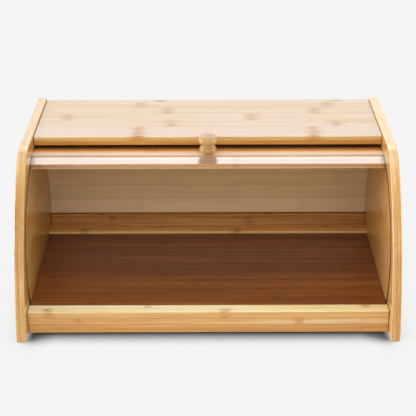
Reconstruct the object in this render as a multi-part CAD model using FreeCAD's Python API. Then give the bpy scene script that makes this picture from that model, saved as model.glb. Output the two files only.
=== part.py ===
"""Roll-top bread box: two grooved sides, a tambour of slats that turns in them, a sill, a floor and a back."""
import FreeCAD, Part
import math
import os

# Frame: millimetres, +Z up, front towards -Y, origin on the ground at the middle of the box.

# Overall sizes
box_width = 400.0
box_depth = 258.0
box_height = 178.0

# Side panels
side_thickness = 10.0
side_edge_round = 1.5
shoulder_radius = 51.2      # front edge, from the flat top down
cheek_radius = 219.8
shin_radius = 769.0
foot_radius = 50.0
shoulder_end_lean = 47.0    # lean of the front edge from vertical where each arc ends, degrees
cheek_end_lean = 19.0
shin_end_lean = 14.4

# Top board
top_board_thickness = 10.5
top_board_recess = 2.5      # its top lies this far below the tops of the sides
top_board_round = 1.5
board_end_round = 0.8        # easing where board and sill meet the sides

# Front sill, floor, batten and back
sill_setback = 18.0
sill_depth = 15.0
sill_ground_gap = 0.8
sill_height = 25.0
sill_round = 1.0
floor_thickness = 8.0
floor_drop = 2.8            # floor top below the sill top
housing_depth = 5.0         # how far floor and back panel enter the sides
batten_width = 17.5
rail_depth = 16.7           # rear rail, between batten and back panel
rail_slat_gap = 1.0         # last slat's lowest corner to the rail when open
rail_round = 0.8
batten_round = 0.6
back_panel_thickness = 5.0
back_panel_inset = 10.0     # back edge of the sides to the back panel
back_panel_tongue = 3.0     # how far the back panel enters the top board

# Tambour and its groove
slat_thickness = 5.5
slat_width = 18.0
slat_gap = 0.2              # between neighbours, at their inner faces
slat_round = 0.8
lead_slat_width = 14.8
lead_joint_advance = 13.7   # joint behind the lead slat, ahead of the arch's top when open
groove_clearance = 0.45
groove_depth = 5.0
slat_end_gap = 0.6
groove_front_wall = 32.2    # front edge of the box to the groove's foremost point
groove_rear_wall = 5.2      # groove's rearmost point to the back panel
groove_top_wall = 4.2       # groove's highest point to the top board
landing_gap = 0.2           # lead slat to floor when closed
closed_cover = 2.0          # least overlap of tambour and top board when closed

# Cords that string the slats together
cord_radius = 1.0
cord_hole_radius = 1.3
cord_from_centre = 130.0
lead_hole_depth = 10.0
ferrule_radius = 1.9
ferrule_hole_radius = 2.0
ferrule_length = 5.0

# Knob and its screw
knob_advance = 2.0          # knob axis ahead of the middle of its slat
knob_foot_radius = 6.2
knob_foot_height = 1.0
knob_lower_bead_radius = 8.2
knob_lower_bead_height = 2.4
knob_upper_bead_radius = 9.2
knob_upper_bead_height = 4.8
knob_neck_radius = 7.4
knob_neck_height = 1.8
knob_head_radius = 10.5
knob_head_half_height = 5.8
knob_rim_radius = 4.8       # roundness of the head's widest edge
knob_stop_gap = 0.3         # knob head to top board when open
knob_screw_radius = 2.0
knob_screw_head_radius = 3.75
knob_screw_bite = 11.0

# Dowels and back screws
dowel_radius = 3.0
dowel_in_side = 6.5
dowel_in_rail = 18.0
top_dowel_end_margin = 15.0
sill_dowel_spacing = 12.0
back_screw_radius = 1.5
back_screw_head_radius = 3.0
back_screw_head_height = 1.8
back_screw_bite = 12.0
back_screw_count = 5        # in each row
back_screw_end_margin = 40.0
rail_screw_height_min = 8.0 # a lower rear rail has no screws of its own
slot_width = 0.8
slot_depth = 0.9

# Places worked out from the sizes above
outer_x = box_width / 2
inner_x = outer_x - side_thickness
front_y = -box_depth / 2
back_y = box_depth / 2
top_board_top = box_height - top_board_recess
top_board_bottom = top_board_top - top_board_thickness
sill_front_y = front_y + sill_setback
sill_back_y = sill_front_y + sill_depth
sill_top = sill_ground_gap + sill_height
floor_top = sill_top - floor_drop
floor_bottom = floor_top - floor_thickness
back_panel_rear_y = back_y - back_panel_inset
back_panel_front_y = back_panel_rear_y - back_panel_thickness
back_panel_top = top_board_bottom + back_panel_tongue
rail_front_y = back_panel_front_y - rail_depth

groove_foremost_y = front_y + groove_front_wall
groove_rearmost_y = back_panel_front_y - groove_rear_wall
groove_outer_radius = (groove_rearmost_y - groove_foremost_y) / 2
arch_y = (groove_rearmost_y + groove_foremost_y) / 2
arch_z = top_board_bottom - groove_top_wall - groove_outer_radius
slat_corner_radius = groove_outer_radius - groove_clearance
slat_outer = math.sqrt(slat_corner_radius ** 2 - (slat_width / 2) ** 2)
slat_inner = slat_outer - slat_thickness
slat_middle = (slat_outer + slat_inner) / 2
groove_inner_radius = slat_inner - groove_clearance
slat_half_length = inner_x + groove_depth - slat_end_gap

# Angles about the arch axis, in degrees from the top, positive towards the front
pitch_angle = 2 * math.degrees(math.atan((slat_width + slat_gap) / 2 / slat_inner))
lead_pitch_angle = 2 * math.degrees(math.atan((lead_slat_width + slat_gap) / 2 / slat_inner))
lead_joint_angle = math.degrees(math.asin(lead_joint_advance / slat_outer))
lead_angle = lead_joint_angle + lead_pitch_angle / 2
knob_slat_angle = lead_joint_angle - pitch_angle / 2
lead_corner_angle = lead_angle + math.degrees(math.atan(lead_slat_width / 2 / slat_outer))
lead_corner_radius = math.hypot(slat_outer, lead_slat_width / 2)
landing_z = floor_top + landing_gap
landing_angle = 90 + math.degrees(math.asin((arch_z - landing_z) / lead_corner_radius))
travel_angle = landing_angle - lead_corner_angle

# Knob heights above its slat, and the top board's front edge that its head stops against
knob_head_centre = (knob_foot_height + knob_lower_bead_height + knob_upper_bead_height
                    + knob_neck_height + knob_head_half_height)
knob_lean = math.radians(knob_slat_angle)
knob_head_y = (arch_y - (slat_outer + knob_head_centre) * math.sin(knob_lean)
               - knob_advance * math.cos(knob_lean))
top_board_front_y = knob_head_y + knob_head_radius + knob_stop_gap

# The tambour has as many full slats as it takes to stay under the top board when closed
cover_angle = math.degrees(math.asin((top_board_front_y + closed_cover - arch_y) / slat_outer))
full_slat_count = math.ceil((lead_joint_angle + travel_angle + cover_angle) / pitch_angle)
tail_angle = lead_joint_angle - full_slat_count * pitch_angle

# The rear rail stops just below the last slat's lowest corner
tail_slat_tilt = math.radians(tail_angle + pitch_angle / 2)
tail_low_z = arch_z + slat_outer * math.cos(tail_slat_tilt) + slat_width / 2 * math.sin(tail_slat_tilt)
rail_top = tail_low_z - rail_slat_gap

x_axis = FreeCAD.Vector(1, 0, 0)
y_axis = FreeCAD.Vector(0, 1, 0)
z_axis = FreeCAD.Vector(0, 0, 1)
arch_centre = FreeCAD.Vector(0, arch_y, arch_z)


def block(x0, x1, y0, y1, z0, z1):
    corner = FreeCAD.Vector(x0, y0, z0)
    return Part.makeBox(x1 - x0, y1 - y0, z1 - z0, corner)


def rod(start, direction, radius, length):
    return Part.makeCylinder(radius, length, start, direction)


def along_x(edge):
    ends = [vertex.Point for vertex in edge.Vertexes]
    return len(ends) == 2 and abs(abs((ends[1] - ends[0]).normalize().x) - 1) < 1e-6


def long_edges(shape, wanted):
    return [edge for edge in shape.Edges if along_x(edge) and wanted(edge.CenterOfMass)]


def eased_bar(bar, long_round):
    """Rounds a bar's long edges, then eases the rims of its two ends."""
    bar = bar.makeFillet(long_round, long_edges(bar, lambda at: True))
    end_x = bar.BoundBox.XMax
    rims = [edge for edge in bar.Edges if abs(abs(edge.CenterOfMass.x) - end_x) < 1e-6]
    return bar.makeFillet(board_end_round, rims)


def mirrored(shape):
    return shape.mirror(FreeCAD.Vector(0, 0, 0), x_axis)


def turned_to(shape, angle):
    placed = shape.copy()
    placed.rotate(arch_centre, x_axis, angle)
    return placed


def side_outline():
    """Front edge as tangent arcs from the flat top down to an upright foot, then round the back."""
    leans = [90.0, shoulder_end_lean, cheek_end_lean, shin_end_lean, 0.0]
    radii = [shoulder_radius, cheek_radius, shin_radius, foot_radius]
    cosines = [math.cos(math.radians(lean)) for lean in leans]
    sines = [math.sin(math.radians(lean)) for lean in leans]
    run = sum(radius * (cosines[i + 1] - cosines[i]) for i, radius in enumerate(radii))
    start = FreeCAD.Vector(0, front_y + run, box_height)
    top_back = FreeCAD.Vector(0, back_y, box_height)
    edges = [Part.LineSegment(top_back, start).toShape()]
    for i, radius in enumerate(radii):
        centre = start + FreeCAD.Vector(0, radius * cosines[i], -radius * sines[i])
        middle_lean = math.radians((leans[i] + leans[i + 1]) / 2)
        middle = centre + FreeCAD.Vector(0, -radius * math.cos(middle_lean), radius * math.sin(middle_lean))
        end = centre + FreeCAD.Vector(0, -radius * cosines[i + 1], radius * sines[i + 1])
        edges.append(Part.Arc(start, middle, end).toShape())
        start = end
    low_front = FreeCAD.Vector(0, front_y, start.z - box_height)
    low_back = FreeCAD.Vector(0, back_y, low_front.z)
    for corner in (low_front, low_back, top_back):
        edges.append(Part.LineSegment(start, corner).toShape())
        start = corner
    return Part.Face(Part.Wire(edges))


def side_blank():
    panel = side_outline().extrude(x_axis * side_thickness)
    panel.translate(x_axis * inner_x)
    panel = panel.common(block(0, box_width, -box_depth, box_depth, 0, 2 * box_height))
    rim = [edge for edge in panel.Edges if not along_x(edge)]
    return panel.makeFillet(side_edge_round, rim)


def tambour_groove():
    end_x = inner_x + groove_depth
    foot = arch_centre + x_axis * (inner_x - groove_depth)
    ring = rod(foot, x_axis, groove_outer_radius, 2 * groove_depth)
    ring = ring.cut(rod(foot, x_axis, groove_inner_radius, 2 * groove_depth))
    above_floor = block(0, end_x, -box_depth, box_depth, floor_top - floor_drop, box_height)
    return ring.common(above_floor)


def top_dowel_places():
    first_y = top_board_front_y + top_dowel_end_margin
    last_y = back_panel_front_y - top_dowel_end_margin
    middle_y = (first_y + last_y) / 2
    z = (top_board_top + top_board_bottom) / 2
    return [FreeCAD.Vector(0, y, z) for y in (first_y, middle_y, last_y)]


def sill_dowel_places():
    y = (sill_front_y + sill_back_y) / 2
    middle_z = (sill_ground_gap + sill_top) / 2
    return [FreeCAD.Vector(0, y, middle_z + step * sill_dowel_spacing / 2) for step in (-1, 1)]


def dowels(places):
    length = dowel_in_side + dowel_in_rail
    pins = [rod(place + x_axis * (inner_x - dowel_in_rail), x_axis, dowel_radius, length) for place in places]
    return pins + [mirrored(pin) for pin in pins]


def drill(shape, tools):
    for tool in tools:
        shape = shape.cut(tool)
    return shape


def side_panel_right():
    housing_x = inner_x + housing_depth
    floor_housing = block(0, housing_x, sill_back_y, back_panel_rear_y, floor_bottom, floor_top)
    back_housing = block(0, housing_x, back_panel_front_y, back_panel_rear_y, floor_bottom, back_panel_top)
    pins = dowels(top_dowel_places() + sill_dowel_places())
    return drill(side_blank(), [tambour_groove(), floor_housing, back_housing] + pins)


def top_board():
    board = block(-inner_x, inner_x, top_board_front_y, back_y, top_board_bottom, top_board_top)
    board = eased_bar(board, top_board_round)
    housing = block(-inner_x, inner_x, back_panel_front_y, back_panel_rear_y, top_board_bottom, back_panel_top)
    return drill(board, [housing] + dowels(top_dowel_places()))


def front_sill():
    sill = block(-inner_x, inner_x, sill_front_y, sill_back_y, sill_ground_gap, sill_top)
    sill = eased_bar(sill, sill_round)
    return drill(sill, dowels(sill_dowel_places()))


def floor_panel():
    end_x = inner_x + housing_depth
    board = block(-end_x, end_x, sill_back_y, back_panel_front_y, floor_bottom, floor_top)
    return drill(board, back_screw_shanks())


def rear_batten():
    front = rail_front_y - batten_width
    strip = block(-inner_x, inner_x, front, rail_front_y, floor_top, sill_top)
    return strip.makeFillet(batten_round, long_edges(strip, lambda at: at.z > sill_top - batten_round))


def rear_rail():
    rail = block(-inner_x, inner_x, rail_front_y, back_panel_front_y, floor_top, rail_top)
    rail = rail.makeFillet(rail_round, long_edges(rail, lambda at: at.z > rail_top - rail_round))
    return drill(rail, back_screw_shanks())


def back_panel():
    end_x = inner_x + housing_depth
    panel = block(-end_x, end_x, back_panel_front_y, back_panel_rear_y, floor_bottom, back_panel_top)
    return drill(panel, back_screw_shanks())


def back_screw_places():
    """One row of screws into the floor's rear edge and one into the rear rail, if it is tall enough."""
    first_x = -inner_x + back_screw_end_margin
    step = -2 * first_x / (back_screw_count - 1)
    rows = [(floor_top + floor_bottom) / 2]
    if rail_top - floor_top > rail_screw_height_min:
        rows.append((floor_top + rail_top) / 2)
    places = []
    for z in rows:
        for i in range(back_screw_count):
            places.append(FreeCAD.Vector(first_x + i * step, back_panel_rear_y, z))
    return places


def back_screw_shanks():
    return [rod(place, -y_axis, back_screw_radius, back_screw_bite) for place in back_screw_places()]


def back_screws():
    screws = []
    for place, shank in zip(back_screw_places(), back_screw_shanks()):
        head = rod(place, y_axis, back_screw_head_radius, back_screw_head_height)
        head = head.makeFillet(back_screw_head_height / 3, [head.Edges[0]])
        outer_y = place.y + back_screw_head_height
        half = back_screw_head_radius * 0.6
        across = block(place.x - half, place.x + half, outer_y - slot_depth, outer_y + slot_depth,
                       place.z - slot_width / 2, place.z + slot_width / 2)
        upright = block(place.x - slot_width / 2, place.x + slot_width / 2, outer_y - slot_depth,
                        outer_y + slot_depth, place.z - half, place.z + half)
        screws.append(head.fuse(shank).removeSplitter().cut(across).cut(upright))
    return screws


def slat_blank(width):
    """A slat lying across the top of the arch, its long outer edges eased."""
    slat = block(-slat_half_length, slat_half_length, arch_y - width / 2, arch_y + width / 2,
                 arch_z + slat_inner, arch_z + slat_outer)
    middle_z = arch_z + slat_middle
    return slat.makeFillet(slat_round, long_edges(slat, lambda at: at.z > middle_z))


def arc_rod(x, radius, start_angle, sweep):
    """A rod bent round the arch axis through the middle of the slats."""
    centre = arch_centre + FreeCAD.Vector(x, 0, slat_middle)
    disc = Part.Face(Part.Wire(Part.makeCircle(radius, centre, y_axis)))
    bent = disc.revolve(arch_centre, x_axis, sweep)
    return turned_to(bent, start_angle)


def angle_of(length):
    return math.degrees(length / slat_middle)


def cord_holes():
    """Holes for both cords: blind in the lead slat, counterbored for a ferrule at the tail."""
    start = lead_angle - lead_pitch_angle / 2 + angle_of(lead_hole_depth)
    sweep = start - tail_angle
    pocket = angle_of(ferrule_length + slat_gap)
    tools = []
    for x in (-cord_from_centre, cord_from_centre):
        tools.append(arc_rod(x, cord_hole_radius, start, -sweep))
        tools.append(arc_rod(x, ferrule_hole_radius, tail_angle + pocket, -pocket))
    return tools


def tambour_slats():
    holes = cord_holes()
    slats = {"lead_slat": turned_to(slat_blank(lead_slat_width), lead_angle)}
    blank = slat_blank(slat_width)
    for number in range(full_slat_count):
        angle = knob_slat_angle - number * pitch_angle
        slats["slat_%02d" % (number + 2)] = turned_to(blank, angle)
    for name in slats:
        slats[name] = drill(slats[name], holes)
    slats["slat_02"] = drill(slats["slat_02"], [knob_screw_body()])
    return slats


def cord_end_angle():
    return tail_angle + angle_of(slat_gap)


def link_cord(x):
    start = lead_angle - lead_pitch_angle / 2 + angle_of(lead_hole_depth)
    return arc_rod(x, cord_radius, start, cord_end_angle() - start)


def cord_ferrules():
    ferrules = []
    for x in (-cord_from_centre, cord_from_centre):
        start = cord_end_angle() + angle_of(ferrule_length)
        sleeve = arc_rod(x, ferrule_radius, start, -angle_of(ferrule_length))
        ferrules.append(sleeve.cut(link_cord(x)))
    return ferrules


def on_knob_slat(shape):
    """Takes a shape built about the Z axis, seat at z=0, to its place on the knob's slat."""
    placed = shape.copy()
    placed.translate(FreeCAD.Vector(0, arch_y - knob_advance, arch_z + slat_outer))
    return turned_to(placed, knob_slat_angle)


def ring_point(radius, z):
    return FreeCAD.Vector(radius, 0, z)


def bead_edge(low_z, high_z, low_radius, bulge_radius, high_radius):
    middle = ring_point(bulge_radius, (low_z + high_z) / 2)
    return Part.Arc(ring_point(low_radius, low_z), middle, ring_point(high_radius, high_z)).toShape()


def rim_edge(centre_radius, centre_z, radius, start, end):
    """Arc in the knob's profile, from one angle above the horizontal to another."""
    points = []
    for angle in (start, (start + end) / 2, end):
        points.append(ring_point(centre_radius + radius * math.cos(angle), centre_z + radius * math.sin(angle)))
    return Part.Arc(*points).toShape()


def knob_body():
    """Turned knob: foot, two beads, a neck and a flattened ball."""
    lower_z = knob_foot_height
    upper_z = lower_z + knob_lower_bead_height
    neck_z = upper_z + knob_upper_bead_height
    joint_radius = (knob_foot_radius + knob_lower_bead_radius) / 2
    waist_radius = (joint_radius + knob_upper_bead_radius) / 2
    rim_centre = knob_head_radius - knob_rim_radius
    crown_z = knob_head_centre + knob_head_half_height
    crown_radius = ((rim_centre ** 2 + knob_head_half_height ** 2 - knob_rim_radius ** 2)
                    / (knob_head_half_height - knob_rim_radius) / 2)
    rim_start = -math.acos((knob_neck_radius - rim_centre) / knob_rim_radius)
    rim_end = math.atan2(crown_radius - knob_head_half_height, rim_centre)
    head_low_z = knob_head_centre + knob_rim_radius * math.sin(rim_start)
    edges = [
        Part.LineSegment(ring_point(0, 0), ring_point(knob_foot_radius, 0)).toShape(),
        Part.LineSegment(ring_point(knob_foot_radius, 0), ring_point(knob_foot_radius, lower_z)).toShape(),
        Part.LineSegment(ring_point(knob_foot_radius, lower_z), ring_point(joint_radius, lower_z)).toShape(),
        bead_edge(lower_z, upper_z, joint_radius, knob_lower_bead_radius, waist_radius),
        bead_edge(upper_z, neck_z, waist_radius, knob_upper_bead_radius, knob_neck_radius),
        Part.LineSegment(ring_point(knob_neck_radius, neck_z), ring_point(knob_neck_radius, head_low_z)).toShape(),
        rim_edge(rim_centre, knob_head_centre, knob_rim_radius, rim_start, rim_end),
        rim_edge(0, crown_z - crown_radius, crown_radius, rim_end, math.pi / 2),
        Part.LineSegment(ring_point(0, crown_z), ring_point(0, 0)).toShape(),
    ]
    return Part.Face(Part.Wire(edges)).revolve(FreeCAD.Vector(0, 0, 0), z_axis, 360)


def knob_screw_body():
    """Countersunk screw from the slat's inner face up into the knob, on the knob's axis."""
    head_height = knob_screw_head_radius - knob_screw_radius
    length = slat_thickness + knob_screw_bite
    foot = FreeCAD.Vector(0, 0, -slat_thickness)
    head = Part.makeCone(knob_screw_head_radius, knob_screw_radius, head_height, foot)
    shank = rod(foot, z_axis, knob_screw_radius, length)
    return on_knob_slat(head.fuse(shank).removeSplitter())


def knob():
    return on_knob_slat(knob_body()).cut(knob_screw_body())


def knob_screw():
    half = knob_screw_head_radius * 0.6
    low = -slat_thickness - slot_depth
    high = -slat_thickness + slot_depth
    across = block(-half, half, -slot_width / 2, slot_width / 2, low, high)
    upright = block(-slot_width / 2, slot_width / 2, -half, half, low, high)
    return knob_screw_body().cut(on_knob_slat(across)).cut(on_knob_slat(upright))


def write(name, solids):
    shape = Part.makeCompound(solids) if len(solids) > 1 else solids[0]
    shape.exportStep("parts/%s.step" % name)
    print("%-20s %2d solid(s) %10.1f mm3 valid %s" % (name, len(shape.Solids), shape.Volume, shape.isValid()))


os.makedirs("parts", exist_ok=True)
right = side_panel_right()
write("side_panel_right", [right])
write("side_panel_left", [mirrored(right)])
write("top_board", [top_board()])
write("front_sill", [front_sill()])
write("floor_panel", [floor_panel()])
write("rear_batten", [rear_batten()])
write("rear_rail", [rear_rail()])
write("back_panel", [back_panel()])
write("top_board_dowels", dowels(top_dowel_places()))
write("sill_dowels", dowels(sill_dowel_places()))
write("back_screws", back_screws())
for slat_name, slat in tambour_slats().items():
    write(slat_name, [slat])
write("link_cord_left", [link_cord(-cord_from_centre)])
write("link_cord_right", [link_cord(cord_from_centre)])
write("cord_ferrules", cord_ferrules())
write("knob", [knob()])
write("knob_screw", [knob_screw()])
print("arch axis y %.3f z %.3f, travel %.3f deg, slats 1 + %d" % (arch_y, arch_z, travel_angle, full_slat_count))
print("tambour reach %.2f to %.2f, top board front y %.3f" % (slat_inner, slat_outer, top_board_front_y))
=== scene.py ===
import bpy
import math
import random
from mathutils import Matrix, Vector

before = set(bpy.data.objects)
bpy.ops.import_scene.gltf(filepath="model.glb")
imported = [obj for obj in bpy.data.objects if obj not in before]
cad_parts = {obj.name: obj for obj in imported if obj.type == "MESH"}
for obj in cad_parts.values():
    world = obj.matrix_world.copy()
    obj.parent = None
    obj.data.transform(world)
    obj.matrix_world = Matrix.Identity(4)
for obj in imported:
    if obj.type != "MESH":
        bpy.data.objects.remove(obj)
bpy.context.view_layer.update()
print("frame loaded:", len(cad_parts), "nodes")


# shader node helpers
def addNode(tree, kind, inputs=(), **settings):
    node = tree.nodes.new(kind)
    for key, value in settings.items():
        setattr(node, key, value)
    for slot, value in dict(inputs).items():
        if isinstance(value, bpy.types.NodeSocket):
            tree.links.new(value, node.inputs[slot])
        else:
            node.inputs[slot].default_value = value
    return node


def calc(tree, operation, *values, clamp=False):
    node = addNode(tree, 'ShaderNodeMath', dict(enumerate(values)), operation=operation, use_clamp=clamp)
    return node.outputs[0]


def calcVector(tree, operation, first, second):
    return addNode(tree, 'ShaderNodeVectorMath', {0: first, 1: second}, operation=operation).outputs[0]


middle = 0.5                                               # noise and tones run from 0 to 1 round this


def fromMiddle(tree, value):
    return calc(tree, 'SUBTRACT', value, middle)


def farAway(tree, first, second):                          # distance from the origin of two axes
    return calc(tree, 'SQRT', calc(tree, 'ADD', calc(tree, 'MULTIPLY', first, first),
                                   calc(tree, 'MULTIPLY', second, second)))


def fade(tree, value, low, high, start=0.0, end=1.0):      # smooth step from start to end
    node = addNode(tree, 'ShaderNodeMapRange', {0: value, 1: low, 2: high, 3: start, 4: end},
                   interpolation_type='SMOOTHSTEP')
    return node.outputs[0]


def noise(tree, vector, detail, scale=1.0, roughness=0.5):
    return addNode(tree, 'ShaderNodeTexNoise', {'Vector': vector, 'Scale': scale, 'Detail': detail,
                                               'Roughness': roughness}).outputs[0]


def blendColor(tree, factor, first, second, mode='MIX'):
    node = tree.nodes.new('ShaderNodeMix')
    node.data_type = 'RGBA'
    node.blend_type = mode
    for slot, value in ((0, factor), (6, first), (7, second)):
        if isinstance(value, bpy.types.NodeSocket):
            tree.links.new(value, node.inputs[slot])
        elif slot == 0:
            node.inputs[0].default_value = value
        else:
            node.inputs[slot].default_value = (*value[:3], 1)
    return node.outputs[2]


def objectPlace(tree):
    return addNode(tree, 'ShaderNodeTexCoord').outputs['Object']


def splitAxes(tree, place):
    return addNode(tree, 'ShaderNodeSeparateXYZ', {0: place}).outputs


def addBump(tree, strength, distance, height):
    return addNode(tree, 'ShaderNodeBump', {'Strength': strength, 'Distance': distance, 'Height': height})


def newMaterial(name):
    material = bpy.data.materials.new(name)
    material.use_nodes = True
    tree = material.node_tree
    tree.nodes.clear()
    out = tree.nodes.new('ShaderNodeOutputMaterial')
    shader = tree.nodes.new('ShaderNodeBsdfPrincipled')
    tree.links.new(shader.outputs[0], out.inputs[0])
    return material, tree, shader


def linkLook(tree, shader, color, gloss, bump):
    tree.links.new(color, shader.inputs['Base Color'])
    tree.links.new(gloss, shader.inputs['Roughness'])
    tree.links.new(bump.outputs[0], shader.inputs['Normal'])


def dress(material, *nodes):
    for name in nodes:
        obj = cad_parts[name]
        obj.data.materials.clear()
        obj.data.materials.append(material)


def rgb(red, green, blue):                                 # display values 0-255 to linear
    def channel(value):
        value = value / 255
        return value / 12.92 if value < 0.04045 else ((value + 0.055) / 1.055) ** 2.4
    return (channel(red), channel(green), channel(blue))


# laminated bamboo: strips lie side by side across the grain, plies are stacked on the third axis
axisIndex = {"X": 0, "Y": 1, "Z": 2}
tones = {
    "natural": {"palest": rgb(250, 216, 188), "pale": rgb(236, 192, 130), "mid": rgb(221, 169, 101),
                "deep": rgb(197, 138, 66), "node": rgb(170, 104, 32)},
    # the inside tone is a deeper copy of the natural one for pieces deep in the box: painted shade
    "inside": {"palest": rgb(246, 198, 142), "pale": rgb(226, 178, 112), "mid": rgb(208, 152, 82),
               "deep": rgb(186, 124, 54), "node": rgb(142, 84, 32)},
    "stained": {"palest": rgb(182, 116, 66), "pale": rgb(160, 96, 52), "mid": rgb(140, 80, 41),
                "deep": rgb(112, 60, 28), "node": rgb(70, 34, 14)},
}
toneStops = {"palest": 0.0, "pale": 0.25, "mid": 0.52, "deep": 0.9}     # where a level has which tone
noiseRange = (0.3, 0.7)                                    # most of a noise's values lie in here

# the grain that all bamboo shares: noise rates per metre along and across the strip, with the detail
grain = {
    "wobble": (12.0, 130.0, 2.0), "patches": (75.0, 380.0, 1.0), "fine": (14.0, 1000.0, 2.0),
    "streak": (6.0, 300.0, 2.0), "broad": (3.0, 80.0, 1.0), "dashes": (70.0, 1900.0, 1.0),
    "roughness": 0.6, "stripShift": 37.0, "plyNodeShift": 0.071,
    "haloReach": 0.016, "nodeCore": 0.001, "ridge": (0.0002, 0.0011), "ridgeShare": 0.2,
    "patchFloor": 0.36, "patchGain": 3.2, "patchBase": 0.15, "swirl": 0.004,
    "broadShare": 1.1, "streakShare": 1.3, "fineShare": 1.2, "dashRange": (0.56, 0.70), "dashShare": 0.16,
    "seamCore": 0.0001, "glueReach": (0.00008, 0.0004), "glossShare": 0.16,
    "bumpDistance": 0.0003, "bumpFine": 0.5, "bumpStreak": 0.5, "bumpGlue": -0.8, "bumpDashes": -0.2,
}
# painted shade in the narrow joint where a board's end meets a side panel
joint = {"reach": 0.0014, "core": 0.0002, "strength": 0.85, "color": rgb(72, 38, 14)}
# a side panel's thickness from the middle of the box, and the thin layers along its cut edge
panel = {"inner": 0.190, "middle": 0.195, "outer": 0.200, "edgeBlend": (0.0002, 0.0006), "stripShare": 0.12,
         "outerDarken": 0.12, "layerDetail": 2.0,
         "layers": (((520, 14, 14), 0.8), ((1500, 40, 40), 0.7), ((420, 170, 170), 0.3))}
# the tambour's groove: darkened inside as painted shade, with painted light on the inner face in front of it
groove = {"low": 0.0955, "high": 0.1030, "aheadBlend": (0.0002, 0.0012), "aheadPaintedLight": 0.6,
          "mouth": (0.1901, 0.1905), "bottom": (0.1960, 0.1965), "strength": 0.8, "color": rgb(66, 36, 14)}
# the tambour's circle round the arch axis, in metres and degrees, and the faces of its slats, with a painted
# reflection colour and painted shade along their long edges
arch = {"y": 0.006, "z": 0.058, "pitch": 10.78, "firstAngle": 2.33, "leadAngle": 12.17}
slatFace = {"bare": rgb(250, 228, 186), "bareShare": 0.6, "bareBlend": 0.0003, "bareGloss": 0.3,
            "paintedReflection": rgb(255, 239, 214), "skinAbove": 0.1594, "skinBlend": 0.0004,
            "edgeBlend": (-0.0036, -0.0012), "edgeShare": 0.5}


def strips(*rows):
    return [{"from": row[0], "node": row[1], "gap": row[2], "tone": row[3]} for row in rows]


nodeSpread = {"gap": 0.2, "gapSpread": (0.86, 1.14), "shift": (-0.5, 0.5)}     # shift is in gaps


def makeStrips(start, end, width, seed):
    dice = random.Random(seed)
    rows = []
    place = start
    while place < end - 1e-6:
        gap = nodeSpread["gap"] * dice.uniform(*nodeSpread["gapSpread"])
        rows.append((place, dice.uniform(*nodeSpread["shift"]) * gap, gap, dice.random()))
        place += width
    return strips(*rows)


def stripLookup(tree, wood, across, ply):
    # each strip's node place, node spacing and tone, and the distance to the nearest seam
    rows = wood["strips"]
    low = rows[0]["from"]
    span = wood["end"] - low
    plyShift = calc(tree, 'MULTIPLY', ply, wood["plyShift"])
    moved = calc(tree, 'ADD', calc(tree, 'SUBTRACT', across, low), plyShift)
    wrapped = calc(tree, 'WRAP', moved, span, 0.0)
    ramp = addNode(tree, 'ShaderNodeValToRGB', {0: calc(tree, 'DIVIDE', wrapped, span)})
    ramp.color_ramp.interpolation = 'CONSTANT'
    while len(ramp.color_ramp.elements) > 1:
        ramp.color_ramp.elements.remove(ramp.color_ramp.elements[-1])
    seam = None
    for index, strip in enumerate(rows):
        at = (strip["from"] - low) / span
        stop = ramp.color_ramp.elements[0] if index == 0 else ramp.color_ramp.elements.new(at)
        stop.position = at
        stop.color = (strip["node"] + middle, strip["gap"], strip["tone"], 1)     # keeps the node above zero
        if index:
            away = calc(tree, 'ABSOLUTE', calc(tree, 'SUBTRACT', wrapped, strip["from"] - low))
            seam = away if seam is None else calc(tree, 'MINIMUM', seam, away)
    data = addNode(tree, 'ShaderNodeSeparateColor', {0: ramp.outputs[0]}).outputs
    return fromMiddle(tree, data[0]), data[1], data[2], seam


def shiftLevel(tree, level, parts, rows):                  # each row paints light or shade by place: axis, start, full, how much lighter (below zero is darker)
    for axis, start, end, shift in rows:
        level = calc(tree, 'ADD', level, fade(tree, parts[axisIndex[axis]], start, end, 0.0, -shift))
    return level


def sideLevel(tree, wood, place, parts, inPanel, stripTone, level):
    # the cut edge has thin layers that follow it; flat is 1 on the faces, outer is 1 towards the outside
    fromFace = calc(tree, 'MINIMUM', calc(tree, 'SUBTRACT', inPanel, panel["inner"]),
                    calc(tree, 'SUBTRACT', panel["outer"], inPanel))
    flat = fade(tree, fromFace, *panel["edgeBlend"], 1.0, 0.0)
    cut = middle + wood["edgeShade"]
    for rates, share in panel["layers"]:
        layer = noise(tree, calcVector(tree, 'MULTIPLY', place, rates), panel["layerDetail"])
        cut = calc(tree, 'MULTIPLY_ADD', fromMiddle(tree, layer), share, cut)
    cut = calc(tree, 'MULTIPLY_ADD', fromMiddle(tree, stripTone), panel["stripShare"], cut)
    # painted light and shade along the cut edge by height
    cut = shiftLevel(tree, cut, parts, wood["edgePaintedLightShade"])
    outer = calc(tree, 'GREATER_THAN', inPanel, panel["middle"])
    cut = calc(tree, 'MULTIPLY_ADD', outer, panel["outerDarken"], cut)
    level = addNode(tree, 'ShaderNodeMix', {0: flat, 2: cut, 3: level}).outputs[0]
    fromArch = calcVector(tree, 'SUBTRACT', place, (0, arch["y"], arch["z"]))
    fromArch = calcVector(tree, 'MULTIPLY', fromArch, (0, 1, 1))
    reach = addNode(tree, 'ShaderNodeVectorMath', {0: fromArch}, operation='LENGTH').outputs['Value']
    # painted light on the inner face just in front of the groove
    ahead = fade(tree, reach, *[groove["high"] + blend for blend in groove["aheadBlend"]])
    innerHalf = calc(tree, 'LESS_THAN', inPanel, panel["middle"])
    ahead = calc(tree, 'MULTIPLY', ahead, calc(tree, 'MULTIPLY', flat, innerHalf))
    return calc(tree, 'MULTIPLY_ADD', ahead, -groove["aheadPaintedLight"], level), flat, outer, reach


def grooveMask(tree, inPanel, reach):
    sunk = calc(tree, 'MULTIPLY', fade(tree, inPanel, *groove["mouth"]),
                fade(tree, inPanel, *groove["bottom"], 1.0, 0.0))
    ring = calc(tree, 'COMPARE', reach, (groove["low"] + groove["high"]) / 2,
                (groove["high"] - groove["low"]) / 2)
    return calc(tree, 'MULTIPLY', calc(tree, 'MULTIPLY', sunk, ring), groove["strength"])


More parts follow.
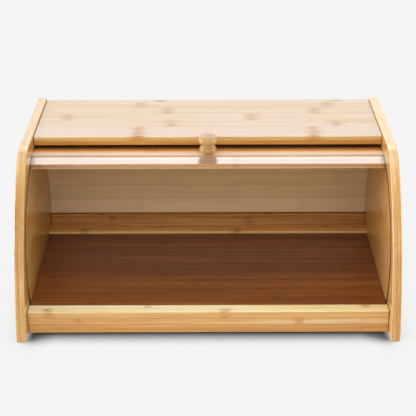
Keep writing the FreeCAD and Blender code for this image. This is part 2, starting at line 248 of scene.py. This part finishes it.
def slatColor(tree, wood, tone, height, across, color):
    # the inner face is bare, dusty wood; outside, the front can get a painted reflection and the long edges
    # get painted shade where slats meet
    inside = fade(tree, height, wood["bareBelow"], wood["bareBelow"] + slatFace["bareBlend"], 1.0, 0.0)
    color = blendColor(tree, calc(tree, 'MULTIPLY', inside, slatFace["bareShare"]), color, slatFace["bare"])
    outside = fade(tree, height, slatFace["skinAbove"] - slatFace["skinBlend"], slatFace["skinAbove"])
    color = blendColor(tree, outside, color, wood["skin"], 'MULTIPLY')
    low, high, share = wood["paintedReflection"]
    paintedReflection = calc(tree, 'MULTIPLY', outside, fade(tree, across, low, high, 0.0, share))
    color = blendColor(tree, paintedReflection, color, slatFace["paintedReflection"])
    offset = calc(tree, 'ABSOLUTE', calc(tree, 'SUBTRACT', across, arch["y"]))
    meetingShade = fade(tree, calc(tree, 'SUBTRACT', offset, wood["edgeAt"]), *slatFace["edgeBlend"],
                 0.0, slatFace["edgeShare"])
    return blendColor(tree, calc(tree, 'MULTIPLY', outside, meetingShade), color, tone["node"]), inside


def crownBump(tree, wood, across, inside):                 # slats are a little round across their outer face
    offset = calc(tree, 'SUBTRACT', across, arch["y"])
    rise = calc(tree, 'MULTIPLY', calc(tree, 'MULTIPLY', offset, offset), -wood["crown"])
    rise = calc(tree, 'MULTIPLY_ADD', offset, wood["lean"], rise)
    return addBump(tree, 1.0, 1.0, calc(tree, 'MULTIPLY', rise, calc(tree, 'SUBTRACT', 1.0, inside)))


def bambooMaterial(name, wood):
    material, tree, shader = newMaterial(name)
    tone = {key: tuple(min(1.0, part * tint) for part, tint in zip(shade, wood["tint"]))
            for key, shade in tones[wood["tone"]].items()}
    isSlat = "turn" in wood
    isSide = "edgeTint" in wood
    place = objectPlace(tree)
    if isSlat:                                             # back to the slat's own directions
        place = addNode(tree, 'ShaderNodeVectorRotate', {'Vector': place, 'Center': (0, arch["y"], arch["z"]),
                                                         'Angle': -math.radians(wood["turn"])},
                        rotation_type='X_AXIS').outputs[0]
    parts = splitAxes(tree, place)
    along, across, deep = [parts[axisIndex[letter]] for letter in wood["axes"]]
    intoPlies = calc(tree, 'SUBTRACT', deep, wood["plyStart"])
    ply = calc(tree, 'FLOOR', calc(tree, 'DIVIDE', intoPlies, wood["ply"]))
    nodeAt, nodeGap, stripTone, seam = stripLookup(tree, wood, across, ply)
    nodeAt = calc(tree, 'ADD', nodeAt, calc(tree, 'MULTIPLY', ply, grain["plyNodeShift"]))

    def stretched(rates, bend=None):                       # noise drawn out along the strip
        side, thick = [part if bend is None else calc(tree, 'ADD', part, bend) for part in (across, deep)]
        shift = calc(tree, 'MULTIPLY', stripTone, grain["stripShift"])
        vector = addNode(tree, 'ShaderNodeCombineXYZ', {
            0: calc(tree, 'MULTIPLY_ADD', along, rates[0], shift),
            1: calc(tree, 'MULTIPLY_ADD', side, rates[1], wood["seed"]),
            2: calc(tree, 'MULTIPLY', thick, rates[1])})
        return noise(tree, vector.outputs[0], rates[2], roughness=grain["roughness"])

    # growth nodes: a soft streaky band across the strip, with a thin ridge in its middle
    wobble = fromMiddle(tree, stretched(grain["wobble"]))
    nearest = calc(tree, 'PINGPONG', calc(tree, 'SUBTRACT', along, nodeAt),
                   calc(tree, 'MULTIPLY', nodeGap, 0.5))
    nearest = calc(tree, 'ADD', nearest, calc(tree, 'MULTIPLY', wobble, wood["nodeWobble"]))
    halo = fade(tree, nearest, 0.0, grain["haloReach"], 1.0, 0.0)
    band = fade(tree, nearest, grain["nodeCore"], wood["nodeReach"], 1.0, 0.0)
    ridge = fade(tree, calc(tree, 'ABSOLUTE', nearest), *grain["ridge"], 1.0, 0.0)
    patches = calc(tree, 'SUBTRACT', stretched(grain["patches"]), grain["patchFloor"])
    patches = calc(tree, 'MULTIPLY_ADD', patches, grain["patchGain"], grain["patchBase"], clamp=True)
    knot = calc(tree, 'MULTIPLY', band, patches)

    # fibres run along the grain and swirl a little beside a node; the level says how deep the tone is
    swirl = calc(tree, 'MULTIPLY', halo, calc(tree, 'MULTIPLY', wobble, grain["swirl"]))
    fine = stretched(grain["fine"], swirl)
    streak = stretched(grain["streak"], swirl)
    broad = stretched(grain["broad"])
    dashes = fade(tree, stretched(grain["dashes"], swirl), *grain["dashRange"])
    contrast = wood["stripContrast"]
    level = calc(tree, 'MULTIPLY_ADD', stripTone, contrast, middle + wood["shade"] - contrast / 2)
    level = calc(tree, 'MULTIPLY_ADD', ply, -wood["plyDarken"], level)
    for layer, share in ((broad, "broadShare"), (streak, "streakShare"), (fine, "fineShare")):
        amount = wood["streakContrast"] * grain[share]
        level = calc(tree, 'MULTIPLY_ADD', fromMiddle(tree, layer), amount, level)
    level = calc(tree, 'MULTIPLY_ADD', dashes, grain["dashShare"], level)
    # painted light and shade by place
    level = shiftLevel(tree, level, parts, wood["paintedLightShade"])
    if isSide:
        inPanel = calc(tree, 'ABSOLUTE', deep)
        level, flat, outer, reach = sideLevel(tree, wood, place, parts, inPanel, stripTone, level)
        knot, ridge, halo = [calc(tree, 'MULTIPLY', mask, flat) for mask in (knot, ridge, halo)]
    scale = addNode(tree, 'ShaderNodeValToRGB', {0: level})
    stops = scale.color_ramp.elements
    stops[0].position, stops[1].position = toneStops["palest"], toneStops["deep"]
    stops.new(toneStops["pale"])
    stops.new(toneStops["mid"])
    for stop, key in zip(stops, toneStops):
        stop.color = (*tone[key], 1)

    # colour: node marks, seams between strips, glue between plies, painted shade in joints and the groove
    halo = calc(tree, 'MULTIPLY', halo, wood["nodeStrength"] * wood["haloShare"])
    color = blendColor(tree, halo, scale.outputs[0], tone["deep"])
    if isSide:                                             # cut edges are brighter; inner faces are deeper as painted shade inside the box
        color = blendColor(tree, calc(tree, 'SUBTRACT', 1.0, flat), color, wood["edgeTint"], 'MULTIPLY')
        inner = calc(tree, 'MULTIPLY', flat, calc(tree, 'SUBTRACT', 1.0, outer))
        color = blendColor(tree, inner, color, wood["innerShadeTint"], 'MULTIPLY')
    mark = calc(tree, 'MULTIPLY_ADD', ridge, grain["ridgeShare"], knot, clamp=True)
    if "rim" in wood:                                      # a board's edge is deeper, its knots are fainter
        low, high, deeper, share = wood["rim"]
        color = blendColor(tree, fade(tree, parts[2], low, high, 1.0, 0.0), color, deeper, 'MULTIPLY')
        mark = calc(tree, 'MULTIPLY', mark, fade(tree, parts[2], low, high, share, 1.0))
    mark = calc(tree, 'MULTIPLY', mark, wood["nodeStrength"])
    color = blendColor(tree, mark, color, wood.get("knot", tone["node"]))
    if seam is not None:
        line = fade(tree, seam, grain["seamCore"], wood["seamReach"], wood["seamStrength"], 0.0)
        if isSide:
            line = calc(tree, 'MULTIPLY', line, flat)
        color = blendColor(tree, line, color, tone["node"])
    fromPly = calc(tree, 'PINGPONG', intoPlies, wood["ply"] / 2)
    glue = fade(tree, fromPly, *grain["glueReach"], wood["glue"], 0.0)
    color = blendColor(tree, glue, color, tone["node"])
    # painted shade darkens the narrow joint at a board's end
    if "jointAt" in wood:
        shaded = fade(tree, calc(tree, 'ABSOLUTE', parts[0]), wood["jointAt"] - joint["reach"],
                      wood["jointAt"] - joint["core"], 0.0, joint["strength"])
        color = blendColor(tree, shaded, color, joint["color"])
    # painted shade inside the groove
    if isSide:
        color = blendColor(tree, grooveMask(tree, inPanel, reach), color, groove["color"])
    gloss = calc(tree, 'MULTIPLY_ADD', fromMiddle(tree, streak), grain["glossShare"], wood["roughness"])
    if isSlat:
        color, inside = slatColor(tree, wood, tone, parts[2], across, color)
        gloss = calc(tree, 'MULTIPLY_ADD', inside, slatFace["bareGloss"], gloss)
    if "duller" in wood:
        low, high, more = wood["duller"]
        gloss = calc(tree, 'ADD', gloss, fade(tree, parts[2], low, high, 0.0, more))
    shader.inputs['Coat Weight'].default_value = wood["coat"]
    shader.inputs['Coat Roughness'].default_value = wood["coatRoughness"]
    shader.inputs['Coat IOR'].default_value = wood["coatIor"]
    shader.inputs['Specular IOR Level'].default_value = wood["specular"]
    height = calc(tree, 'ADD', calc(tree, 'MULTIPLY', fine, grain["bumpFine"]),
                  calc(tree, 'MULTIPLY', streak, grain["bumpStreak"]))
    height = calc(tree, 'MULTIPLY_ADD', glue, grain["bumpGlue"], height)
    height = calc(tree, 'MULTIPLY_ADD', dashes, grain["bumpDashes"], height)
    bump = addBump(tree, wood["bump"], grain["bumpDistance"], height)
    if isSlat:
        tree.links.new(crownBump(tree, wood, across, inside).outputs[0], bump.inputs['Normal'])
    linkLook(tree, shader, color, gloss, bump)
    return material


# what each bamboo piece changes: a strip's row is its start across, a node's place, node spacing and tone,
# and a painted light and shade row is its axis, start, full and amount
common = {"tone": "natural", "tint": (1.0, 1.0, 1.0), "shade": 0.0, "plyShift": 0.0137, "plyDarken": 0.0,
          "stripContrast": 0.3, "streakContrast": 0.55, "nodeStrength": 0.62, "nodeReach": 0.0085,
          "nodeWobble": 0.011, "haloShare": 0.22, "seamReach": 0.0005, "seamStrength": 0.3, "glue": 0.45,
          "paintedLightShade": (), "seed": 0.0, "roughness": 0.34, "coat": 1.0, "coatRoughness": 0.14, "coatIor": 1.7,
          "specular": 0.1, "bump": 0.12}
sidePanel = {**common, "axes": "YZX", "plyStart": 0.190, "ply": 0.005, "plyShift": 0.0091, "end": 0.1791,
             "streakContrast": 0.8, "coatRoughness": 0.28}
woods = {
    "topBoard": {**common, "tint": (0.87, 1.0, 1.09), "shade": 0.10, "axes": "XYZ", "plyStart": 0.1703,
                 "ply": 0.0053, "plyDarken": 0.24, "end": 0.129, "jointAt": 0.190, "coatIor": 1.45,
                 "streakContrast": 0.75, "nodeStrength": 1.0, "haloShare": 0.45, "knot": rgb(196, 128, 10),
                 # painted light: the top face and the front part of the board are lighter
                 "paintedLightShade": (("Z", 0.1738, 0.1752, 0.42), ("Y", 0.07, 0.012, 0.20)),
                 "rim": (0.1738, 0.1752, (1.03, 0.85, 0.50), 0.45),
                 "strips": strips((0.0092, -0.076, 0.192, 0.30), (0.039, -0.0415, 0.185, 0.55),
                                  (0.059, 0.050, 0.209, 0.25), (0.079, -0.0455, 0.168, 0.45),
                                  (0.1, -0.078, 0.217, 0.60), (0.119, -0.056, 0.206, 0.35))},
    "sideLeft": {**sidePanel, "tint": (0.765, 0.735, 0.60), "edgeShade": -0.10,
                 "edgeTint": (1.10, 1.10, 1.05), "innerShadeTint": (1.03, 0.98, 0.62),
                 # painted light and shade: faces lighter towards the front and darker high up, the cut edge
                 # darker above the middle and lighter at the shoulder
                 "paintedLightShade": (("Y", 0.0, -0.09, 0.4), ("Z", 0.10, 0.14, -0.2)),
                 "edgePaintedLightShade": (("Z", 0.06, 0.09, -0.22), ("Z", 0.135, 0.170, 0.36)),
                 "strips": makeStrips(0.0, 0.179, 0.0199, 5)},
    "sideRight": {**sidePanel, "tint": (0.94, 0.90, 0.78), "edgeShade": -0.05,
                  "edgeTint": (1.03, 1.07, 1.10), "innerShadeTint": (1.08, 1.02, 0.68),
                  # painted light and shade: faces lighter towards the front and low down, the cut edge darker
                  # low down and lighter at the shoulder
                  "paintedLightShade": (("Y", 0.0, -0.09, 0.4), ("Z", 0.13, 0.10, 0.2)),
                  "edgePaintedLightShade": (("Z", 0.12, 0.06, -0.25), ("Z", 0.12, 0.165, 0.12)),
                  "strips": makeStrips(0.0, 0.179, 0.0199, 9)},
    "sill": {**common, "tint": (1.22, 1.29, 1.10), "shade": -0.05, "axes": "XZY", "plyStart": -0.111,
             "ply": 0.0075, "end": 0.026, "jointAt": 0.190, "streakContrast": 0.85,
             "seamReach": 0.0010, "seamStrength": 0.6, "knot": rgb(196, 118, 24),
             # painted light: the top face is lighter
             "paintedLightShade": (("Z", 0.0248, 0.0254, 0.42),),
             "strips": strips((0.0, 0.22, 0.44, 1.2), (0.0105, 0.0947, 0.23, 0.35),
                              (0.0185, 0.0174, 0.186, 0.25))},
    "floor": {**common, "tone": "stained", "tint": (1.12, 1.09, 0.82), "axes": "XYZ", "plyStart": 0.019,
              "ply": 0.004, "end": 0.12, "jointAt": 0.190, "streakContrast": 0.85, "nodeStrength": 0.18,
              # painted light: lighter towards the front
              "seamReach": 0.0009, "seamStrength": 0.6, "paintedLightShade": (("Y", 0.03, -0.09, 0.14),),
              "coat": 0.6, "coatIor": 1.5, "coatRoughness": 0.25,
              "strips": makeStrips(-0.1, 0.12, 0.0195, 11)},
    "batten": {**common, "tone": "inside", "tint": (1.2, 1.2, 0.9), "axes": "XYZ", "plyStart": 0.023,
               # painted light: the batten's front lip is lighter
               "ply": 0.005, "end": 0.12, "streakContrast": 0.85, "paintedLightShade": (("Y", 0.0808, 0.0802, 0.7),),
               "strips": makeStrips(0.07, 0.12, 0.0195, 21)},
    "rail": {**common, "tone": "inside", "tint": (1.0, 0.93, 0.68), "axes": "XZY", "plyStart": 0.09,
             "ply": 0.0075, "end": 0.041, "jointAt": 0.190, "streakContrast": 0.95,
             "strips": strips((0.0, 0.0, 0.2, 0.2), (0.0245, -0.115, 0.165, 0.85))},
    "back": {**common, "axes": "XZY", "plyStart": 0.114, "ply": 0.0025, "end": 0.18,
             "strips": makeStrips(0.0, 0.18, 0.0195, 8)},
    "knob": {**common, "tint": (0.71, 0.665, 0.56), "axes": "ZXY", "plyStart": -0.1, "ply": 0.5, "end": 0.02,
             "nodeStrength": 0.0, "coat": 0.35, "coatRoughness": 0.35, "specular": 0.6, "roughness": 0.22,
             "duller": (0.1690, 0.1715, 0.3), "strips": strips((-0.02, 0.0, 0.2, 0.45))},
}
slat = {**common, "tint": (0.95, 0.9, 0.65), "skin": (1.0, 1.0, 1.0), "axes": "XYZ", "plyStart": 0.1,
        "ply": 0.5, "end": 0.05, "jointAt": 0.190, "stripContrast": 0.16, "streakContrast": 0.7,
        "nodeStrength": 0.45, "coatIor": 2.0, "bareBelow": 0.1549, "edgeAt": 0.009,
        "paintedReflection": (0.0122, 0.0030, 0.0), "crown": 22.0, "lean": 0.0}
slatChanges = {                                            # the lead slat, its outer face tinted pale as painted reflection, and the slat that carries the knob, with a painted reflection on its front
    1: {"tint": (0.80, 0.63, 0.14), "skin": (0.70, 0.96, 7.0), "coatRoughness": 0.20, "crown": 0.0,
        "edgeAt": 1.0},
    2: {"tint": (1.36, 1.06, 0.52), "paintedReflection": (0.0122, 0.0030, 0.86), "lean": 0.25},
}
slatSet = {"count": 11, "seed": 27, "seedStep": 7.0, "from": -0.05, "node": (-0.1, 0.1), "gap": (0.17, 0.23)}
slatDice = random.Random(slatSet["seed"])
for number in range(1, slatSet["count"] + 1):
    node = "lead_slat" if number == 1 else "slat_%02d" % number
    turn = arch["leadAngle"] if number == 1 else arch["firstAngle"] - arch["pitch"] * (number - 2)
    strip = (slatSet["from"], slatDice.uniform(*slatSet["node"]), slatDice.uniform(*slatSet["gap"]),
             slatDice.random())
    wood = {**slat, "turn": turn, "seed": slatSet["seedStep"] * number, **slatChanges.get(number, {}),
            "strips": strips(strip)}
    dress(bambooMaterial(node + "Bamboo", wood), node)
for name, node in (("topBoard", "top_board"), ("sideLeft", "side_panel_left"),
                   ("sideRight", "side_panel_right"), ("sill", "front_sill"), ("floor", "floor_panel"),
                   ("batten", "rear_batten"), ("rail", "rear_rail"), ("back", "back_panel"),
                   ("knob", "knob")):
    dress(bambooMaterial(name + "Bamboo", woods[name]), node)
print("bamboo done")


# beech dowels: pinkish wood with short dark flecks along the grain
beech = {"pale": (226, 190, 150), "deep": (206, 162, 118), "fleck": (158, 108, 70), "fleckShare": 0.55,
         "rings": (30, 420, 420), "ringDetail": 3.0, "flecks": (260, 2600, 2600), "fleckDetail": 1.0,
         "fleckRange": (0.60, 0.68),
         "roughness": (0.5, 0.66), "bump": (0.3, 0.0002), "bumpFleck": -0.6}


def beechMaterial():
    material, tree, shader = newMaterial("beech")
    place = objectPlace(tree)
    rings = noise(tree, calcVector(tree, 'MULTIPLY', place, beech["rings"]), beech["ringDetail"])
    fleck = noise(tree, calcVector(tree, 'MULTIPLY', place, beech["flecks"]), beech["fleckDetail"])
    fleck = fade(tree, fleck, *beech["fleckRange"])
    color = blendColor(tree, rings, rgb(*beech["pale"]), rgb(*beech["deep"]))
    color = blendColor(tree, calc(tree, 'MULTIPLY', fleck, beech["fleckShare"]), color, rgb(*beech["fleck"]))
    bump = addBump(tree, *beech["bump"], calc(tree, 'MULTIPLY_ADD', fleck, beech["bumpFleck"], rings))
    linkLook(tree, shader, color, fade(tree, rings, *noiseRange, *beech["roughness"]), bump)
    return material


# zinc plated steel: lathe rings and faint blotches in the plating
steel = {"light": (196, 196, 190), "dark": (150, 150, 146), "ring": (104, 104, 102), "ringRange": (0.35, 0.7),
         "ringShare": 0.35, "ringRate": 5200.0, "lengthRate": 2600.0, "ringDetail": 2.0,
         "blotchRate": 420.0, "blotchDetail": 3.0,
         "roughness": (0.24, 0.42), "bump": (0.25, 0.0001)}
backScrew = {**steel, "every": 0.08, "row": 0.019}         # ring centres: spacing along X, and height
knobScrew = {**steel, "row": 0.0}


def steelMaterial(name, metal):
    material, tree, shader = newMaterial(name)
    place = objectPlace(tree)
    parts = splitAxes(tree, place)
    if "every" in metal:                                   # ring centres repeat along X
        sideways = calc(tree, 'WRAP', parts[0], metal["every"] / 2, -metal["every"] / 2)
        upward, lengthways = parts[2], parts[1]
    else:
        sideways, upward, lengthways = parts[0], parts[1], parts[2]
    away = farAway(tree, sideways, calc(tree, 'SUBTRACT', upward, metal["row"]))
    turned = addNode(tree, 'ShaderNodeCombineXYZ', {
        0: calc(tree, 'MULTIPLY', away, metal["ringRate"]),
        1: calc(tree, 'MULTIPLY', lengthways, metal["lengthRate"])})
    rings = noise(tree, turned.outputs[0], metal["ringDetail"])
    blotch = noise(tree, place, metal["blotchDetail"], metal["blotchRate"])
    color = blendColor(tree, blotch, rgb(*metal["light"]), rgb(*metal["dark"]))
    shown = fade(tree, rings, *metal["ringRange"], 0.0, metal["ringShare"])
    color = blendColor(tree, shown, color, rgb(*metal["ring"]))
    shader.inputs['Metallic'].default_value = 1.0
    gloss = fade(tree, rings, *noiseRange, *metal["roughness"])
    linkLook(tree, shader, color, gloss, addBump(tree, *metal["bump"], rings))
    return material


# around the arch: length along the slats' path, and distance from the arch axis
def alongArch(tree, parts):
    forward = calc(tree, 'SUBTRACT', parts[1], arch["y"])
    upward = calc(tree, 'SUBTRACT', parts[2], arch["z"])
    length = calc(tree, 'MULTIPLY', calc(tree, 'ARCTAN2', forward, upward), cord["reach"])
    return length, farAway(tree, forward, upward)


# braided cord: two sets of strands winding opposite ways, with painted shade between the strands
cord = {"reach": 0.0992, "across": 0.130, "lay": 0.004, "strands": 3.0, "yarn": (214, 204, 184),
        "gap": (120, 108, 88), "worn": (176, 160, 132), "wornShare": 0.35, "fuzzRate": 3000.0,
        "fuzzDetail": 2.0, "roughness": (0.75, 0.95), "bump": (0.6, 0.0002)}


def cordMaterial():
    material, tree, shader = newMaterial("braidedCord")
    place = objectPlace(tree)
    parts = splitAxes(tree, place)
    length, reach = alongArch(tree, parts)
    offset = calc(tree, 'SUBTRACT', calc(tree, 'ABSOLUTE', parts[0]), cord["across"])
    winding = calc(tree, 'ARCTAN2', calc(tree, 'SUBTRACT', reach, cord["reach"]), offset)
    turns = calc(tree, 'MULTIPLY', length, 2 * math.pi / cord["lay"])
    strands = []
    for way in (1.0, -1.0):
        wave = calc(tree, 'SINE', calc(tree, 'MULTIPLY_ADD', winding, way * cord["strands"], turns))
        strands.append(calc(tree, 'MULTIPLY_ADD', wave, 0.5, 0.5))
    weave = calc(tree, 'MAXIMUM', strands[0], strands[1])
    fuzz = noise(tree, place, cord["fuzzDetail"], cord["fuzzRate"])
    color = blendColor(tree, weave, rgb(*cord["gap"]), rgb(*cord["yarn"]))
    color = blendColor(tree, calc(tree, 'MULTIPLY', fuzz, cord["wornShare"]), color, rgb(*cord["worn"]))
    gloss = fade(tree, fuzz, *noiseRange, *cord["roughness"])
    linkLook(tree, shader, color, gloss, addBump(tree, *cord["bump"], weave))
    return material


# crimped ferrules: pressed rings along the sleeve, darkened as painted shade, and a dull, handled surface
ferrule = {"press": 0.0016, "light": (206, 196, 160), "dark": (160, 146, 108), "pressed": (110, 98, 70),
           "pressedShare": 0.4, "dullRate": 900.0, "dullDetail": 3.0, "roughness": (0.32, 0.5),
           "bump": (0.5, 0.0002)}


def ferruleMaterial():
    material, tree, shader = newMaterial("ferruleMetal")
    place = objectPlace(tree)
    length = alongArch(tree, splitAxes(tree, place))[0]
    press = calc(tree, 'SINE', calc(tree, 'MULTIPLY', length, 2 * math.pi / ferrule["press"]))
    press = calc(tree, 'MULTIPLY_ADD', press, 0.5, 0.5)
    dull = noise(tree, place, ferrule["dullDetail"], ferrule["dullRate"])
    color = blendColor(tree, dull, rgb(*ferrule["light"]), rgb(*ferrule["dark"]))
    pressed = calc(tree, 'MULTIPLY', press, ferrule["pressedShare"])
    color = blendColor(tree, pressed, color, rgb(*ferrule["pressed"]))
    shader.inputs['Metallic'].default_value = 1.0
    gloss = fade(tree, dull, *noiseRange, *ferrule["roughness"])
    linkLook(tree, shader, color, gloss, addBump(tree, *ferrule["bump"], press))
    return material


dress(beechMaterial(), "top_board_dowels", "sill_dowels")
dress(steelMaterial("backScrewSteel", backScrew), "back_screws")
dress(steelMaterial("knobScrewSteel", knobScrew), "knob_screw")
dress(cordMaterial(), "link_cord_left", "link_cord_right")
dress(ferruleMaterial(), "cord_ferrules")
print("dowels, screws, cords and ferrules done")


# studio: pale floor, soft lights, camera; a shineOnly card is mirrored in the lacquer but lights nothing else
studio = {"floorSize": 8.0, "paper": 0.80, "paperSeen": 0.045, "paperGlow": 0.857,
          "contactReach": 0.029, "contactSamples": 8,
          "contactFrom": 0.46, "contactShade": 0.98, "contactBeside": 0.1, "contactSpan": 0.195,
          "contactBlend": (-0.012, 0.004), "background": 0.913, "ambient": 0.64, "reflected": 0.5}
camera = {"place": (0.0, -1.1392, 0.6252), "pitch": 25.0, "roll": -0.17, "lens": 97.99, "sensor": 36.0,
          "near": 0.05}
lights = [
    {"name": "topSoftbox", "place": (0.0, -0.1, 2.1),
     "aim": (0.0, 0.0, 0.08), "size": (2.4, 1.4), "power": 12.5},
    {"name": "frontFill", "place": (0.0, -1.95, 0.85),
     "aim": (0.0, 0.0, 0.08), "size": (2.4, 1.0), "power": 4.5},
    {"name": "crossLeft", "place": (-1.85, -0.45, 0.45),
     "aim": (0.0, -0.1, 0.08), "size": (0.6, 0.6), "power": 12.0},
    {"name": "crossRight", "place": (1.85, -0.45, 0.45),
     "aim": (0.0, -0.1, 0.08), "size": (0.6, 0.6), "power": 6.0},
    {"name": "sideLeft", "place": (-1.9, -0.16, 0.35),
     "aim": (0.0, -0.1, 0.1), "size": (0.5, 1.1), "power": 20.0},
    {"name": "sideRight", "place": (1.9, -0.16, 0.35),
     "aim": (0.0, -0.1, 0.1), "size": (0.5, 1.1), "power": 14.0},
    {"name": "backFill", "place": (0.0, 1.9, 0.75),
     "aim": (0.0, 0.0, 0.1), "size": (2.4, 1.0), "power": 8.8},
    {"name": "shineCard", "place": (0.0, 1.35, 1.6),
     "aim": (0.0, 0.0, 0.15), "size": (2.2, 0.75), "power": 20.0, "shineOnly": True},
]


def addLight(light):
    bpy.ops.object.light_add(type='AREA', location=light["place"])
    lamp = bpy.context.object
    lamp.name = light["name"]
    lamp.rotation_euler = (Vector(light["aim"]) - Vector(light["place"])).to_track_quat('-Z', 'Y').to_euler()
    lamp.data.shape = 'RECTANGLE'
    lamp.data.size, lamp.data.size_y = light["size"]
    lamp.data.energy = light["power"]
    lamp.visible_diffuse = not light.get("shineOnly", False)


def makeFloor():
    bpy.ops.mesh.primitive_plane_add(size=studio["floorSize"], location=(0, 0, 0))
    floor = bpy.context.object
    floor.name = "studioFloor"
    material = bpy.data.materials.new("studioPaper")
    material.use_nodes = True
    tree = material.node_tree
    tree.nodes.clear()
    out = tree.nodes.new('ShaderNodeOutputMaterial')
    paper = addNode(tree, 'ShaderNodeBsdfDiffuse', {'Color': (*[studio["paper"]] * 3, 1)})
    seen = addNode(tree, 'ShaderNodeBsdfDiffuse', {'Color': (*[studio["paperSeen"]] * 3, 1)})
    # the camera sees glowing paper with a painted contact shadow where something stands close, most of all
    # under the box
    contact = addNode(tree, 'ShaderNodeAmbientOcclusion', {'Distance': studio["contactReach"]},
                      samples=studio["contactSamples"])
    sideways = calc(tree, 'ABSOLUTE', splitAxes(tree, objectPlace(tree))[0])
    under = fade(tree, sideways, *[studio["contactSpan"] + blend for blend in studio["contactBlend"]],
                 studio["contactShade"], studio["contactBeside"])
    near = fade(tree, contact.outputs['AO'], studio["contactFrom"], 1.0, 1.0, 0.0)
    dark = calc(tree, 'MULTIPLY', near, under)
    shade = calc(tree, 'MULTIPLY', calc(tree, 'SUBTRACT', 1.0, dark), studio["paperGlow"])
    glow = addNode(tree, 'ShaderNodeEmission', {'Color': (1, 1, 1, 1), 'Strength': shade})
    rays = addNode(tree, 'ShaderNodeLightPath')
    both = addNode(tree, 'ShaderNodeAddShader', {0: seen.outputs[0], 1: glow.outputs[0]})
    mixed = addNode(tree, 'ShaderNodeMixShader',
                    {0: rays.outputs['Is Camera Ray'], 1: paper.outputs[0], 2: both.outputs[0]})
    tree.links.new(mixed.outputs[0], out.inputs[0])
    floor.data.materials.append(material)


def makeWorld():
    world = bpy.data.worlds.new("studioWorld")
    bpy.context.scene.world = world
    world.use_nodes = True
    tree = world.node_tree
    tree.nodes.clear()
    out = tree.nodes.new('ShaderNodeOutputWorld')
    rays = addNode(tree, 'ShaderNodeLightPath')
    strength = addNode(tree, 'ShaderNodeMix', {0: rays.outputs['Is Camera Ray'], 2: studio["ambient"],
                                               3: studio["background"]})
    strength = addNode(tree, 'ShaderNodeMix', {0: rays.outputs['Is Glossy Ray'], 2: strength.outputs[0],
                                               3: studio["reflected"]})
    sky = addNode(tree, 'ShaderNodeBackground', {'Color': (1, 1, 1, 1), 'Strength': strength.outputs[0]})
    tree.links.new(sky.outputs[0], out.inputs[0])


def makeCamera():
    bpy.ops.object.camera_add(location=camera["place"])
    eye = bpy.context.object
    lean = Matrix.Rotation(math.radians(90 - camera["pitch"]), 4, 'X')
    eye.rotation_euler = (lean @ Matrix.Rotation(math.radians(camera["roll"]), 4, 'Z')).to_euler()
    eye.data.lens = camera["lens"]
    eye.data.sensor_width = camera["sensor"]
    eye.data.sensor_fit = 'HORIZONTAL'
    eye.data.clip_start = camera["near"]
    bpy.context.scene.camera = eye


makeFloor()
makeWorld()
for light in lights:
    addLight(light)
makeCamera()
bpy.context.scene.view_settings.view_transform = 'Standard'
print("studio done")
